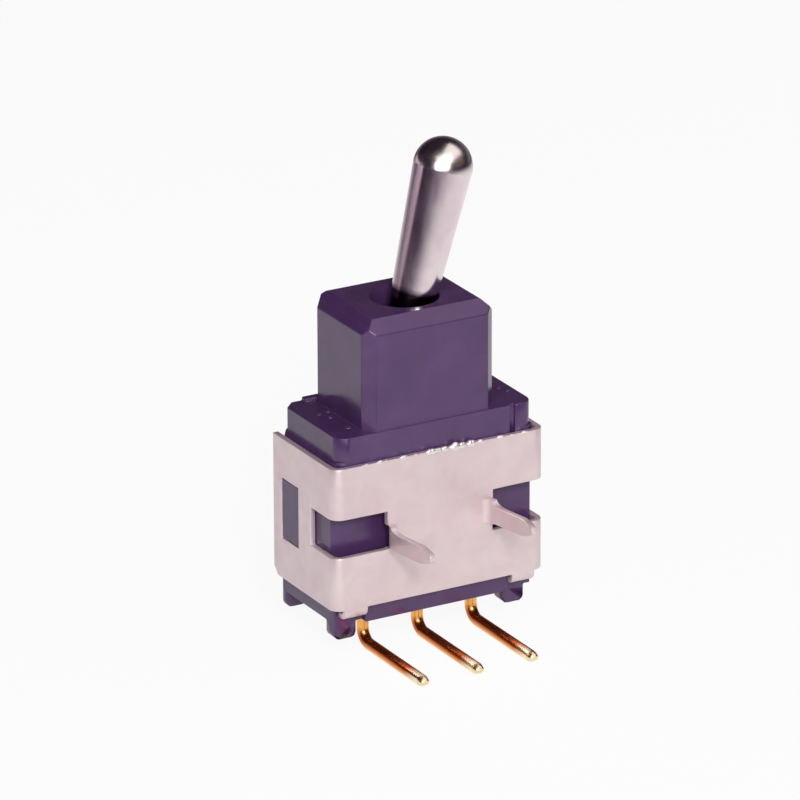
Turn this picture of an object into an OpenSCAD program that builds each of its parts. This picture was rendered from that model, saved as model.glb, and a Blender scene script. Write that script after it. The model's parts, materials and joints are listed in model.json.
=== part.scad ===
// Ultra-miniature toggle switch: one pole, two positions, mounted on a board that stands beside it.
// X runs along the row of terminals, Y away from the board and Z up the lever.
// The origin is where the middle terminal's axis crosses the board face.

/* [Frame] */
// Width of the folded frame, along the row of terminals
frame_w = 9.85; // [9.6:0.05:10.4]
// Depth of the frame, from the board face to its back edges
frame_d = 5.1; // [4.9:0.05:5.4]
// Sideways offset of the frame and the flange from the middle terminal
frame_shift = 0.15; // [0:0.01:0.2]
// Height of the frame's walls
frame_h = 6.15; // [5.9:0.05:6.6]
// Thickness of the frame's sheet
sheet_t = 0.25; // [0.2:0.01:0.28]
// Outer radius of the two front folds
fold_r = 0.5; // [0.4:0.05:0.6]
// Depth of the windows' upper edge below the frame's upper edge
window_drop = 2.2; // [2.1:0.05:2.4]
// Height of the two windows that wrap the front folds
window_h = 1.65; // [1.6:0.05:1.8]
// How much lower the right window reaches than the left one
window_low_right = 0.14; // [0:0.02:0.2]
// Distance between the inner edges of the two windows
window_gap = 4.9; // [4.7:0.1:5.1]
// How far each window runs back along its side wall
window_side = 2; // [1.8:0.1:2.2]

/* [Frame legs and tabs] */
// Distance between the middles of the two legs
leg_pitch = 4.7; // [4.5:0.05:4.8]
// Width of a leg
leg_w = 0.75; // [0.6:0.05:0.8]
// Inner radius of a leg's bend
leg_bend_r = 0.3; // [0.2:0.05:0.35]
// Height of the left leg's root above the window's lower edge
leg_rise_left = 0.45; // [0.43:0.01:0.65]
// Height of the right leg's root above the window's lower edge
leg_rise_right = 0.7; // [0.55:0.01:0.85]
// How much higher a leg's tip is than its root
leg_lift = 0.35; // [0:0.05:0.4]
// Width of each clinched tab under the base
tab_w = 1.05; // [0.8:0.05:1.1]

/* [Terminals] */
// Distance between neighbouring terminals
pitch = 2.54; // [2.5:0.01:2.6]
// Diameter of the terminal wire
wire_d = 0.5; // [0.4:0.01:0.55]
// How far the wires and legs reach past the board face
reach = 3.5; // [3:0.05:4]
// Radius of the wire's bend, at its centre line
wire_bend_r = 0.6; // [0.5:0.05:0.7]
// Distance from the terminals' axes up to the frame's lower edge
drop = 2.2; // [2.1:0.05:2.6]

/* [Case] */
// Width of the block that the lever stands in
block_w = 6.06; // [5.9:0.02:6.3]
// Height of the block above the flange
block_h = 4.64; // [4.5:0.02:4.9]
// Chamfer round three sides of the block's top
block_top_cut = 0.54; // [0.4:0.02:0.58]
// Chamfer along the back of the block's top
block_back_cut = 0.2; // [0.1:0.02:0.4]
// Chamfer down the block's four corners
block_side_cut = 0.45; // [0.3:0.01:0.5]
// Depth of the flange, from front to back
flange_d = 4.76; // [4.7:0.02:4.96]
// Height of the flange above the frame
flange_h = 1.18; // [1:0.02:1.3]
// Radius of the flange's two front corners
flange_r = 0.55; // [0.45:0.01:0.65]
// Chamfer of the flange's two back corners
flange_cut = 0.43; // [0.3:0.01:0.5]
// Thickness of the case's walls
wall = 0.45; // [0.4:0.01:0.5]

/* [Base] */
// Depth of the base's rim below the frame
rim_drop = 0.8; // [0.75:0.05:0.9]
// Height of the feet below the rim
foot_h = 0.7; // [0.5:0.05:0.8]
// Width of a foot
foot_w = 1; // [0.8:0.05:1.05]

/* [Lever] */
// Lean of the lever, to each side of upright
tilt = 14.5; // [13:0.5:15]
// Distance from the pivot to the middle of the round tip
bat_l = 7.15; // [6:0.05:8.5]
// Radius of the round tip
tip_r = 1.22; // [1.1:0.01:1.25]
// Radius of the lever at its neck, above the ball
neck_r = 0.9; // [0.84:0.01:0.93]
// Radius of the ball at the pivot
ball_r = 1.25; // [1.2:0.01:1.27]
// Depth of the pivot below the top of the block
pivot_depth = 1.7; // [1.66:0.01:1.76]

/* [Mechanism] */
// Radius of the lever's arm inside the case
arm_r = 0.85; // [0.8:0.01:0.88]
// Radius of the plunger
plunger_r = 0.5; // [0.45:0.01:0.52]
// Lean of the rocker, to each side of level
rock = 6; // [5:0.5:7]
// Width of the rocker
rocker_w = 1.9; // [1.7:0.05:1.95]
// Thickness of the rocker's strip
rocker_t = 0.22; // [0.18:0.01:0.24]

/* [Hidden] */
$fn = 64;

// clearances
slip = 0.02;       // between parts that touch but don't move
run = 0.05;        // round the plunger and the rocker's stubs
contact_gap = 0.03; // between contacts, so that they never bite
swing_gap = 0.12;  // round the lever's arm
over = 0.01;       // how far a cut runs past a face

// colours
plastic_colour = "#54455f";
sheet_colour = "#d6cacb";
gold_colour = "#c69a45";
steel_colour = "#b9b9bd";

// heights
frame_z0 = drop;
frame_z1 = frame_z0 + frame_h;
flange_z1 = frame_z1 + flange_h;
block_z1 = flange_z1 + block_h;
pivot_z = block_z1 - pivot_depth;
flange_below = 0.6;   // how far the flange reaches down inside the frame
case_above = 0.5;     // from the frame's lower edge up to the case's
back_rim_h = 0.15;
flare_h = 0.15;
flange_z0 = frame_z1 - flange_below;
case_z0 = frame_z0 + case_above;
rim_z0 = frame_z0 - rim_drop;
base_l = 2.4;         // from the frame's lower edge up to the chamber's floor
cradle_l = 1.6;       // from that floor up to the rocker's axis
floor_z = frame_z0 + base_l;
rocker_z = floor_z + cradle_l;
ceiling_t = 0.78;
chamber_z1 = flange_z1 - ceiling_t;
window_z1 = frame_z1 - window_drop;
window_z0 = window_z1 - window_h;

// plan sizes
ear_t = 0.18;         // the cradle's two ears
ear_gap = 0.06;       // between the ears and the rocker
cradle_gap = 0.21;    // between the front ear and the chamber's front wall
mid_y = sheet_t + slip + flange_d / 2;
inner_w = frame_w - 2 * sheet_t;
case_w = inner_w - 2 * slip;
flange_step = 0.13;   // from the case's sides in to the flange's
block_step = 0.1;     // from the flange's front and back in to the block's
rim_inset = 1.05;     // from the flange's sides in to its back rim
rim_d = 0.35;
groove_inset = 0.83;  // from the flange's right side in to its front groove
groove_w = 0.22;
groove_d = 0.15;
flange_w = case_w - 2 * flange_step;
block_d = flange_d - 2 * block_step;
case_y1 = mid_y + flange_d / 2;
chamber_w = case_w - 2 * wall - 2 * frame_shift;
chamber_y0 = mid_y - rocker_w / 2 - ear_gap - ear_t - cradle_gap;
chamber_y1 = case_y1 - wall;
case_y0 = chamber_y0 - wall;
base_step = 0.08;     // from the case's sides in to the base's
base_front_gap = 0.07;
base_w = case_w - 2 * base_step;
base_y0 = sheet_t + base_front_gap;
base_y1 = case_y1;
seal_side = 0.9;      // from an outer terminal to the resin's end
seal_half_w = pitch + seal_side;
seal_half_d = 1.5;
seal_h = 0.35;
seal_roof = 0.1;      // from the resin up to the frame's lower edge
front_foot_d = 0.7;
back_foot_d = 0.35;
front_foot_gap = 0.4; // between the frame's front wall and the front feet
foot_round = 0.28;

// side slots of the frame, with the case's bosses in them
slot_shift = 0.35;
slot_y0 = mid_y + slot_shift;
slot_l = 1.42;
slot_drop = 1.74;
slot_h = 2.63;
boss_out = 0.23;
boss_gap = 0.05;

// frame details
tab_x0 = frame_w / 2 - fold_r - tab_w;
tab_bend_r = 0.1;
tab_l = 0.25;
leg_root = 0.1;
leg_tip_l = 0.8;
leg_flare_l = 0.7;    // length over which the root's upper edge curves down to the leg's
leg_low = (leg_w + leg_root) / 2;
leg_high = leg_low + leg_lift / 2;
corner_cut = 0.35;

// lever, ball seat and seal
arm_bore_r = plunger_r + run;
neck_s = 0.85;
pin_r = 0.3;
pin_cover = 0.63;     // plastic and air beyond each of the pin's ends
seat_gap = 0.13;
pin_half = flange_d / 2 - pin_cover;
seat_r = ball_r + seat_gap;
ring_tube_r = 0.2;
ring_gap = 0.14;      // from the ball's side to the middle of the seal's section
ring_above = 0.52;
ring_cover = 0.04;
mouth_gap = 0.05;
ring_r = ball_r + ring_gap;
ring_z = pivot_z + ring_above;
mouth_z = ring_z + ring_tube_r + ring_cover;
mouth_low_r = ball_r + mouth_gap;
mouth_top_r = 1.44;
well_w = 2 * ((pivot_z - chamber_z1) * tan(tilt) + arm_r / cos(tilt) + swing_gap);
well_d = 2.6;

// The plunger's round end swings about the lever's pivot while the rocker leans under it. Seen from
// the rocker, that end follows an arc. The trough has the same centre, one tip radius further out.
axes_h = pivot_z - rocker_z;
plunger_l = axes_h - plunger_r - contact_gap - rocker_t / 2;
end_x = plunger_l * sin(tilt) * cos(rock) - (axes_h - plunger_l * cos(tilt)) * sin(rock);
end_z = plunger_l * sin(tilt) * sin(rock) + (axes_h - plunger_l * cos(tilt)) * cos(rock);
end_rise = end_z - (axes_h - plunger_l);
path_r = (end_x * end_x + end_rise * end_rise) / (2 * end_rise);
trough_r = path_r + plunger_r + contact_gap;
trough_z = rocker_z + axes_h - plunger_l + path_r;
trough_spare = 0.2;   // beyond the plunger's last touching point
trough_half = end_x * (1 + plunger_r / path_r) + trough_spare;
wing_z1 = trough_z - sqrt(trough_r * trough_r - trough_half * trough_half);
wing_spare = 0.42;    // beyond the contact's middle
arm_gap = 0.75;       // from the arm's end to the plunger's
wing_half = pitch + wing_spare;
arm_l = plunger_l - arm_gap;
spring_s1 = 1.7;
spring_s0 = 3.4;
spring_wire_r = 0.07;
spring_turns = 5;

// contacts
tip_pad_r = 0.32;
tip_pad_h = 0.2;
button_r = 0.33;
button_h = 0.15;
plate_t = 0.25;
stub_r = 0.22;
ear_half_w = 0.42;
ear_above = 0.45;     // from the rocker's axis up to the ears' upper edge
cradle_half_w = 0.55;
cradle_t = 0.2;
plate_half_w = 0.45;
plate_beyond = 0.5;   // from the case's middle back to the plate's edge
pedestal_lip = 0.13;  // from the plate's side out to the pedestal's
pedestal_beyond = 0.65;
pad_low = (wing_z1 - rocker_z - rocker_t - tip_pad_h) * cos(rock) - (pitch + tip_pad_r) * sin(rock);
button_z1 = rocker_z + pad_low - contact_gap;
plate_z1 = button_z1 - button_h;
wire_r = wire_d / 2;
wire_wall_gap = 0.2;  // between the wires and the chamber's front wall
wire_y = chamber_y0 + wire_wall_gap + wire_r;

// A box between two corners.
module box(low, high) {
    translate(low) cube(high - low);
}

// A round bar along +Y.
module bar_y(from, r, l) {
    translate(from) rotate([-90, 0, 0]) cylinder(r = r, h = l);
}

// An upright section swept along Y, over the depth d about the case's middle.
module sweep_y(d) {
    translate([0, mid_y + d / 2, 0]) rotate([90, 0, 0]) linear_extrude(d) children();
}

// An upright section swept along X, over the width w.
module sweep_x(w) {
    translate([-w / 2, 0, 0]) rotate([90, 0, 90]) linear_extrude(w) children();
}

// Plan of the block, with its four corners cut.
module block_plan() {
    x = block_w / 2;
    y = block_d / 2;
    cut = block_side_cut;
    translate([0, mid_y])
        polygon([[-x, -y + cut], [-x + cut, -y], [x - cut, -y], [x, -y + cut],
                 [x, y - cut], [x - cut, y], [-x + cut, y], [-x, y - cut]]);
}

// Plan of the flange: round front corners and cut back corners.
module flange_plan(w) {
    x = w / 2;
    y = flange_d / 2;
    r = flange_r;
    translate([frame_shift, mid_y]) {
        polygon([[-x, -y + r], [-x + r, -y], [x - r, -y], [x, -y + r],
                 [x, y - flange_cut], [x - flange_cut, y], [-x + flange_cut, y], [-x, y - flange_cut]]);
        for (side = [-x + r, x - r]) translate([side, -y + r]) circle(r = r);
    }
}

// A four-sided section whose two upper corners are cut: low edge z0, high edge z1.
module cut_section(low, high, z0, z1, cut_low, cut_high) {
    polygon([[low, z0], [high, z0], [high, z1 - cut_high], [high - cut_high, z1],
             [low + cut_low, z1], [low, z1 - cut_low]]);
}

module block() {
    x = block_w / 2;
    y = block_d / 2;
    cut = block_top_cut;
    intersection() {
        translate([0, 0, flange_z1 - over]) linear_extrude(block_h + over) block_plan();
        sweep_y(block_d) cut_section(-x, x, flange_z0, block_z1, cut, cut);
        sweep_x(block_w) cut_section(mid_y - y, mid_y + y, flange_z0, block_z1, cut, block_back_cut);
    }
}

module flange() {
    flare = (case_w - flange_w) / 2;
    x = case_w / 2;
    rim_x = flange_w / 2 - rim_inset;
    translate([0, 0, flange_z0]) linear_extrude(flange_z1 - flange_z0) flange_plan(flange_w);
    translate([0, 0, flange_z0]) linear_extrude(frame_z1 - flange_z0 + over) flange_plan(case_w);
    intersection() {
        translate([0, 0, frame_z1]) linear_extrude(flare_h) flange_plan(case_w);
        translate([frame_shift, 0, 0]) sweep_y(flange_d)
            polygon([[-x, flange_z0], [x, flange_z0], [x, frame_z1], [x - flare, frame_z1 + flare_h],
                     [-x + flare, frame_z1 + flare_h], [-x, frame_z1]]);
    }
    // low rim along the back edge
    box([-rim_x, case_y1 - rim_d, flange_z1 - over], [rim_x, case_y1, flange_z1 + back_rim_h]);
}

// Bosses that fill the slots in the frame's side walls.
module bosses() {
    x = case_w / 2 + boss_out;
    translate([frame_shift, 0, 0]) box([-x, slot_y0 + boss_gap, frame_z1 - slot_drop - slot_h + boss_gap],
        [x, slot_y0 + slot_l - boss_gap, frame_z1 - slot_drop - boss_gap]);
}

// Round passage for the lever: open mouth, groove for the seal and seat for the ball.
module lever_passage() {
    translate([0, mid_y, mouth_z])
        cylinder(r1 = mouth_low_r, r2 = mouth_top_r, h = block_z1 - mouth_z);
    translate([0, mid_y, block_z1 - over]) cylinder(r = mouth_top_r, h = 1);
    translate([0, mid_y, mouth_z - 0.1]) cylinder(r = mouth_low_r, h = 0.1 + over);
    translate([0, mid_y, ring_z - ring_tube_r - slip])
        cylinder(r = ring_r + ring_tube_r + slip, h = 2 * (ring_tube_r + slip));
    translate([0, mid_y, chamber_z1]) cylinder(r = seat_r, h = ring_z - chamber_z1);
}

// Grooves that the pivot pin's ends turn in. They are open downwards, so that the pin goes in from below.
module pin_grooves() {
    half = pin_half + slip;
    bar_y([0, mid_y - half, pivot_z], pin_r + slip, 2 * half);
    box([-pin_r - slip, mid_y - half, chamber_z1 - over], [pin_r + slip, mid_y + half, pivot_z]);
}

module case() {
    groove_x = flange_w / 2 - groove_inset;
    color(plastic_colour)
        difference() {
            union() {
                block();
                flange();
                bosses();
                translate([frame_shift, 0, 0])
                    box([-case_w / 2, case_y0, case_z0], [case_w / 2, case_y1, flange_z0 + over]);
            }
            lever_passage();
            pin_grooves();
            box([-well_w / 2, mid_y - well_d / 2, chamber_z1 - over],
                [well_w / 2, mid_y + well_d / 2, pivot_z - ball_r]);
            box([-chamber_w / 2, chamber_y0, case_z0 - over], [chamber_w / 2, chamber_y1, chamber_z1]);
            box([groove_x - groove_w / 2, 0, flange_z0 - over],
                [groove_x + groove_w / 2, mid_y - flange_d / 2 + groove_d, flange_z1 + over]);
        }
}

// A foot with its lower edges rounded, standing below the rim.
module foot(x0, y0, l) {
    r = foot_round;
    z0 = rim_z0 - foot_h;
    box([x0, y0, z0 + r], [x0 + foot_w, y0 + l, rim_z0 + over]);
    box([x0 + r, y0, z0], [x0 + foot_w - r, y0 + l, z0 + r + over]);
    for (x = [x0 + r, x0 + foot_w - r]) bar_y([x, y0, z0 + r], r, l);
}

// Low block that carries a fixed contact's plate.
module pedestal(x) {
    half = plate_half_w + pedestal_lip;
    box([x - half, chamber_y0 + slip, floor_z - over],
        [x + half, mid_y + pedestal_beyond, plate_z1 - plate_t]);
}

module base() {
    front_foot_y = sheet_t + front_foot_gap;
    feet_x = base_w / 2 - frame_shift;
    color(plastic_colour)
        difference() {
            union() {
                translate([frame_shift, 0, 0])
                    box([-base_w / 2, base_y0, rim_z0], [base_w / 2, base_y1, case_z0 - slip]);
                box([-chamber_w / 2 + slip, chamber_y0 + slip, case_z0 - 2 * slip],
                    [chamber_w / 2 - slip, chamber_y1 - slip, floor_z]);
                for (x = [-feet_x, feet_x - foot_w]) {
                    foot(x, front_foot_y, front_foot_d);
                    foot(x, base_y1 - back_foot_d, back_foot_d);
                }
                for (x = [-pitch, pitch]) pedestal(x);
            }
            // hollow underside, for the wires and the resin
            box([-seal_half_w, mid_y - seal_half_d, rim_z0 - foot_h],
                [seal_half_w, mid_y + seal_half_d, frame_z0 - seal_roof]);
            // notches for the frame's tabs
            translate([frame_shift, 0, 0])
                for (side = [0, 1])
                    mirror([side, 0, 0])
                        box([tab_x0 - run, 0, rim_z0 - foot_h], [frame_w / 2, front_foot_y, frame_z0 - 0.02]);
            for (x = [-pitch, 0, pitch])
                translate([x, wire_y, 0]) cylinder(r = wire_r + slip / 2, h = frame_z1);
        }
}

// The frame's three walls as one folded band.
module band() {
    difference() {
        union() {
            box([-frame_w / 2, fold_r, frame_z0], [frame_w / 2, frame_d, frame_z1]);
            box([-frame_w / 2 + fold_r, 0, frame_z0], [frame_w / 2 - fold_r, fold_r + over, frame_z1]);
            for (x = [-frame_w / 2 + fold_r, frame_w / 2 - fold_r])
                translate([x, fold_r, frame_z0]) cylinder(r = fold_r, h = frame_h);
        }
        box([-inner_w / 2, fold_r, frame_z0 - over], [inner_w / 2, frame_d + over, frame_z1 + over]);
        box([-frame_w / 2 + fold_r, sheet_t, frame_z0 - over],
            [frame_w / 2 - fold_r, fold_r + over, frame_z1 + over]);
        for (x = [-frame_w / 2 + fold_r, frame_w / 2 - fold_r])
            translate([x, fold_r, frame_z0 - over]) cylinder(r = fold_r - sheet_t, h = frame_h + 2 * over);
    }
}

// A point of a leg's outline, at the distance l from its bend and the height h from its middle line.
function leg_point(l, h) = [-leg_bend_r - l, h + leg_lift * l / (reach - leg_bend_r)];

// A leg bent out of the front wall, for the side +X. The wall runs on into the bend at x = start.
module leg(start, z) {
    half = leg_w / 2;
    out_l = reach - leg_bend_r;
    flat_l = out_l - leg_tip_l;
    neck_l = flat_l + leg_tip_l * 0.7;
    outer = leg_bend_r + sheet_t;
    flare = [for (a = [0 : 15 : 90])
        leg_point(leg_flare_l * (1 - cos(a)), half + (leg_high - half) * (1 - sin(a)))];
    difference() {
        translate([start, -leg_bend_r, z - leg_low]) cylinder(r = outer, h = leg_low + leg_high);
        translate([start, -leg_bend_r, z - leg_low - over])
            cylinder(r = leg_bend_r, h = leg_low + leg_high + 2 * over);
        box([start - outer - over, -leg_bend_r - outer, z - leg_low - over],
            [start, sheet_t + over, z + leg_high + over]);
        box([start - over, -leg_bend_r - outer, z - leg_low - over],
            [start + outer + over, -leg_bend_r, z + leg_high + over]);
    }
    translate([start + leg_bend_r, 0, z]) rotate([90, 0, 90]) linear_extrude(sheet_t)
        polygon(concat([leg_point(0, -leg_low)], flare,
                [leg_point(flat_l, half), leg_point(neck_l, half * 0.65), leg_point(out_l, half * 0.3),
                 leg_point(out_l, -half * 0.3), leg_point(neck_l, -half * 0.65), leg_point(flat_l, -half),
                 leg_point(2 * leg_root, -half)]));
}

// A tab that runs down from the front wall and is folded under the base, for the side +X.
module tab() {
    z = frame_z0 - tab_bend_r;
    outer = tab_bend_r + sheet_t;
    box([tab_x0, 0, z], [tab_x0 + tab_w, sheet_t, frame_z0 + over]);
    difference() {
        translate([tab_x0, outer, z]) rotate([0, 90, 0]) cylinder(r = outer, h = tab_w);
        translate([tab_x0 - over, outer, z]) rotate([0, 90, 0])
            cylinder(r = tab_bend_r, h = tab_w + 2 * over);
        box([tab_x0 - over, -over, z], [tab_x0 + tab_w + over, 2 * outer + over, z + outer + over]);
        box([tab_x0 - over, outer, z - outer - over], [tab_x0 + tab_w + over, 2 * outer + over, z + over]);
    }
    box([tab_x0, outer, z - outer], [tab_x0 + tab_w, outer + tab_l, z - tab_bend_r]);
}

module frame() {
    start = leg_pitch / 2 - sheet_t / 2 - leg_bend_r;
    lows = [window_z0 - window_low_right, window_z0];
    rises = [window_z0 + leg_rise_right, window_z0 + leg_rise_left];
    color(sheet_colour)
        translate([frame_shift, 0, 0]) {
            difference() {
                band();
                for (side = [0, 1])
                    mirror([side, 0, 0]) {
                        box([window_gap / 2, -over, lows[side]],
                            [frame_w / 2 + over, window_side, window_z1]);
                        // where the leg was bent out
                        box([start, -over, rises[side] - leg_low],
                            [frame_w / 2 - fold_r, sheet_t + over, rises[side] + leg_high]);
                    }
                // slots of the side walls
                box([-frame_w, slot_y0, frame_z1 - slot_drop - slot_h],
                    [frame_w, slot_y0 + slot_l, frame_z1 - slot_drop]);
                // cut lower back corners
                sweep_x(2 * frame_w)
                    polygon([[frame_d - corner_cut, frame_z0 - over], [frame_d + over, frame_z0 - over],
                             [frame_d + over, frame_z0 + corner_cut]]);
            }
            for (side = [0, 1])
                mirror([side, 0, 0]) {
                    leg(start, rises[side]);
                    tab();
                }
        }
}

// A terminal wire: up into the switch to z = top, and along -Y past the board face.
module wire(x, top) {
    tip_y = -reach + wire_r;
    bend_y = wire_y - wire_bend_r;
    color(gold_colour)
        translate([x, 0, 0]) {
            translate([0, wire_y, wire_bend_r]) cylinder(r = wire_r, h = top - wire_bend_r);
            translate([0, bend_y, wire_bend_r]) rotate([90, 0, 90]) rotate([0, 0, -90])
                rotate_extrude(angle = 90) translate([wire_bend_r, 0]) circle(r = wire_r);
            bar_y([0, tip_y, 0], wire_r, bend_y - tip_y);
            translate([0, tip_y, 0]) sphere(r = wire_r);
        }
}

module plate(x) {
    color(gold_colour)
        difference() {
            box([x - plate_half_w, chamber_y0 + 4 * slip, plate_z1 - plate_t],
                [x + plate_half_w, mid_y + plate_beyond, plate_z1]);
            translate([x, wire_y, plate_z1 - 2 * plate_t]) cylinder(r = wire_r, h = 3 * plate_t);
        }
}

module button(x) {
    color("#c9c4ba") translate([x, mid_y, plate_z1]) cylinder(r = button_r, h = button_h);
}

module cradle() {
    ear_y = rocker_w / 2 + ear_gap;
    color(gold_colour)
        difference() {
            union() {
                box([-cradle_half_w, mid_y - ear_y - ear_t, floor_z],
                    [cradle_half_w, mid_y + ear_y + ear_t, floor_z + cradle_t]);
                for (y = [mid_y - ear_y - ear_t, mid_y + ear_y])
                    box([-ear_half_w, y, floor_z], [ear_half_w, y + ear_t, rocker_z + ear_above]);
            }
            translate([0, wire_y, 0]) cylinder(r = wire_r, h = floor_z + cradle_t);
            bar_y([0, 0, rocker_z], stub_r + run, 2 * mid_y);
        }
}

module terminal_seal() {
    color("#6b4a2f")
        difference() {
            box([-seal_half_w, mid_y - seal_half_d, frame_z0 - seal_roof - seal_h],
                [seal_half_w, mid_y + seal_half_d, frame_z0 - seal_roof]);
            for (x = [-pitch, 0, pitch])
                translate([x, wire_y, 0]) cylinder(r = wire_r, h = frame_z1);
        }
}

module seal_ring() {
    color("#1d1b1f")
        translate([0, mid_y, ring_z]) rotate_extrude() translate([ring_r, 0]) circle(r = ring_tube_r);
}

// Places what turns with the lever: its own axis is Z, with the pivot at the origin.
module on_lever() {
    translate([0, mid_y, pivot_z]) rotate([0, tilt, 0]) children();
}

module lever() {
    color("#cfc3c6")
        on_lever()
            difference() {
                union() {
                    sphere(r = ball_r);
                    translate([0, 0, neck_s]) cylinder(r1 = neck_r, r2 = tip_r, h = bat_l - neck_s);
                    cylinder(r = neck_r, h = neck_s + over);
                    translate([0, 0, bat_l]) sphere(r = tip_r);
                    translate([0, 0, -arm_l]) cylinder(r = arm_r, h = arm_l);
                }
                translate([0, 0, -arm_l - over]) cylinder(r = arm_bore_r, h = arm_l - spring_s1 + over);
                bar_y([0, -ball_r - over, 0], pin_r, 2 * ball_r + 2 * over);
            }
}

module pivot_pin() {
    color(steel_colour) bar_y([0, mid_y - pin_half, pivot_z], pin_r, 2 * pin_half);
}

module plunger() {
    color("#e6e0d2")
        on_lever() {
            translate([0, 0, -plunger_l]) cylinder(r = plunger_r, h = plunger_l - spring_s0);
            translate([0, 0, -plunger_l]) sphere(r = plunger_r);
        }
}

// Points of one ring of the spring's wire, at the angle a along its helix.
function spring_ring(a, pitch_s, coil_r, sides) =
    [for (k = [0 : sides - 1])
        let (b = 360 * k / sides, r = coil_r + spring_wire_r * cos(b))
            [r * cos(a), r * sin(a), a / 360 * pitch_s + spring_wire_r * sin(b)]];

module plunger_spring() {
    sides = 6;
    steps = 16 * spring_turns;
    coil_r = arm_bore_r - spring_wire_r - run;
    low = -spring_s0 + spring_wire_r + slip / 2;
    pitch_s = (spring_s0 - spring_s1 - 2 * spring_wire_r - slip) / spring_turns;
    points = [for (i = [0 : steps]) each spring_ring(360 * spring_turns * i / steps, pitch_s, coil_r, sides)];
    sheath = [for (i = [0 : steps - 1], k = [0 : sides - 1])
        let (n = (k + 1) % sides)
            [i * sides + k, (i + 1) * sides + k, (i + 1) * sides + n, i * sides + n]];
    first = [for (k = [0 : sides - 1]) k];
    last = [for (k = [sides - 1 : -1 : 0]) steps * sides + k];
    color(steel_colour) on_lever() translate([0, 0, low]) polyhedron(points, concat(sheath, [first, last]));
}

// Places what leans with the rocker. At rest its -X side is down.
module on_rocker() {
    translate([0, mid_y, rocker_z]) rotate([0, -rock, 0]) translate([0, -mid_y, -rocker_z]) children();
}

module rocker() {
    y0 = mid_y - rocker_w / 2;
    color(gold_colour)
        on_rocker() {
            intersection() {
                difference() {
                    bar_y([0, y0, trough_z], trough_r + rocker_t, rocker_w);
                    bar_y([0, y0 - over, trough_z], trough_r, rocker_w + 2 * over);
                }
                box([-trough_half, y0, rocker_z - rocker_t], [trough_half, y0 + rocker_w, wing_z1]);
            }
            for (side = [-1, 1])
                mirror([side < 0 ? 1 : 0, 0, 0])
                    box([trough_half - rocker_t, y0, wing_z1 - rocker_t],
                        [wing_half, y0 + rocker_w, wing_z1]);
            bar_y([0, y0 - ear_gap - ear_t, rocker_z], stub_r, ear_gap + ear_t + over);
            bar_y([0, y0 + rocker_w - over, rocker_z], stub_r, ear_gap + ear_t + over);
        }
}

module rocker_tip(x) {
    color("#c9c4ba")
        on_rocker() translate([x, mid_y, wing_z1 - rocker_t - tip_pad_h])
            cylinder(r = tip_pad_r, h = tip_pad_h);
}

case();
base();
frame();
wire(-pitch, plate_z1);  // terminal_left
wire(0, floor_z + cradle_t);  // terminal_common
wire(pitch, plate_z1);  // terminal_right
plate(-pitch);  // plate_left
plate(pitch);  // plate_right
button(-pitch);  // button_left
button(pitch);  // button_right
cradle();
terminal_seal();
seal_ring();
lever();
pivot_pin();
plunger();
plunger_spring();
rocker();
rocker_tip(-pitch);  // rocker_tip_left
rocker_tip(pitch);  // rocker_tip_right
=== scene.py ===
"""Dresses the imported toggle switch: detailed pieces, finishes, studio light and camera."""

import json
import logging
import math
from dataclasses import dataclass
from enum import Enum
from typing import Callable, Iterable, Sequence

import bmesh
import bpy
from mathutils import Matrix, Vector, noise

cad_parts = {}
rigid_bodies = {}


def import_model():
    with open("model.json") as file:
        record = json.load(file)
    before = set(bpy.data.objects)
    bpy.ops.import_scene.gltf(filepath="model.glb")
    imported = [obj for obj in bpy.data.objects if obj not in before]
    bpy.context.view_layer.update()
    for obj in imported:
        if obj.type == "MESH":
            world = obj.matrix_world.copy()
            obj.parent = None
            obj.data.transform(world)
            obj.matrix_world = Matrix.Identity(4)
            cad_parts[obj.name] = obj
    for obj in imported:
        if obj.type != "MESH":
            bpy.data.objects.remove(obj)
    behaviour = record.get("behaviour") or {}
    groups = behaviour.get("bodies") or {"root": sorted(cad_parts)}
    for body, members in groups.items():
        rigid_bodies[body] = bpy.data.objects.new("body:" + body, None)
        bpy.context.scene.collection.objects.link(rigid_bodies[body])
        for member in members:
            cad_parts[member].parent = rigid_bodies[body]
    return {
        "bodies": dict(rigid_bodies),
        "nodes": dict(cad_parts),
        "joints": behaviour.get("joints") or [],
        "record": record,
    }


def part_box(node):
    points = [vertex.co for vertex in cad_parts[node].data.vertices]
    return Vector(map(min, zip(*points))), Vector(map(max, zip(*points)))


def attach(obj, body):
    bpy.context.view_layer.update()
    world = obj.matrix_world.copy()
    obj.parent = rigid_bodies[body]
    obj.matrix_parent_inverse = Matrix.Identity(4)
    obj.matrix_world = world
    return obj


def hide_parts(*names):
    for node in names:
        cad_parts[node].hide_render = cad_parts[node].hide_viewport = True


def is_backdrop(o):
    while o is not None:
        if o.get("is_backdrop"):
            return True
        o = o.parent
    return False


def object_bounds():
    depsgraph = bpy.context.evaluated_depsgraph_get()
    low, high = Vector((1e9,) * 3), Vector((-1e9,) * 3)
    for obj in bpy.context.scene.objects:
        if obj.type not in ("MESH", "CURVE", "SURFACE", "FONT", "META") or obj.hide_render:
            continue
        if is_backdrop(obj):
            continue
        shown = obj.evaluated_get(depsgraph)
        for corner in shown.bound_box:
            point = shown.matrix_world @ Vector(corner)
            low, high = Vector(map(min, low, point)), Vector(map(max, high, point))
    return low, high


LOG = logging.getLogger("toggle_switch")
MM = 0.001
# Where the painted shade on the lever's foot ends above its pivot, and over what distance either side it
# fades.
FOOT_S = 2.0 * MM
FOOT_FADE = 0.14 * MM
# Corners of a face that turn by less than this sine count as straight.
STRAIGHT = 1e-4
Colour = tuple[float, float, float]


class Body(str, Enum):
    """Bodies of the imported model."""

    HOUSING = "housing"
    LEVER = "lever"
    ROCKER = "rocker"


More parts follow.
